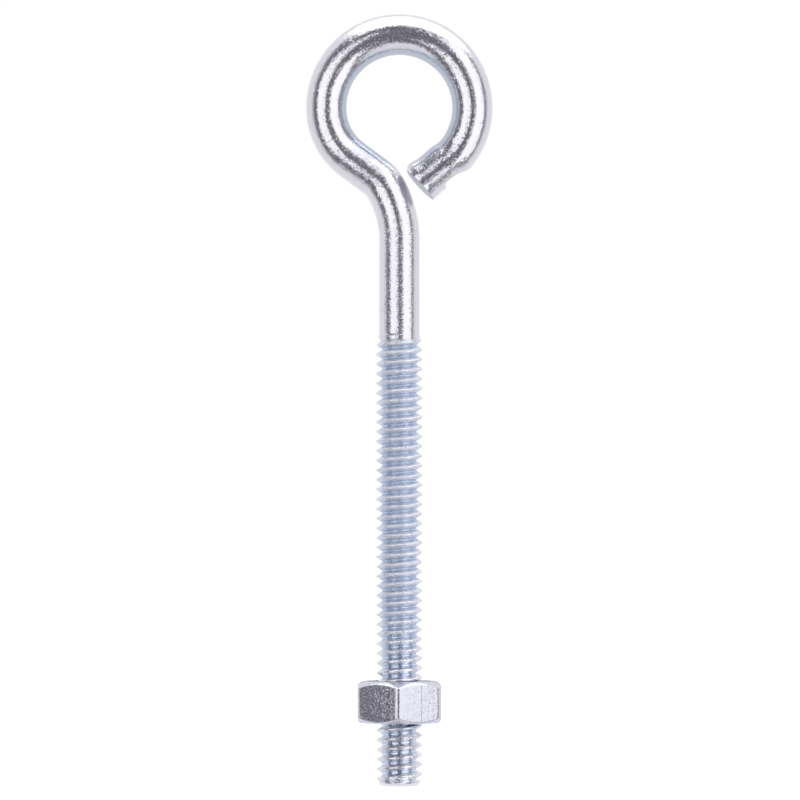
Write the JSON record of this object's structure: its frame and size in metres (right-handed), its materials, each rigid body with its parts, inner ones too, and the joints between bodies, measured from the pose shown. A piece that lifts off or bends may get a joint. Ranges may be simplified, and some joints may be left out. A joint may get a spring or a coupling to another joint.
{
  "type": "eye bolt",
  "caption": "Bent-wire eye bolt: a round rod bent to an open eye at one end, rolled thread at the other, with a hex nut on it.",
  "frame": {"origin": "centre of the shank's plain end face, the lowest point of the bolt as it stands", "axes": "+Z along the shank towards the eye; the eye lies in the XZ plane with its gap on the +X side; +Y along the eye's axis"},
  "size_m": [0.0246, 0.0126, 0.1016],
  "materials": {
    "bolt_zinc": "bright zinc plate over drawn and rolled steel wire, slightly blue",
    "nut_zinc": "bright zinc plate over cold-formed steel, finely speckled"
  },
  "bodies": {
    "eye_bolt": {"eye_bolt": "bolt_zinc"},
    "hex_nut": {"hex_nut": "nut_zinc"}
  },
  "joints": [
    {"name": "nut_travel", "type": "slide", "parent": "eye_bolt", "child": "hex_nut", "axis": [0, 0, 1], "range_m": [-0.00762, 0.0381]}
  ]
}
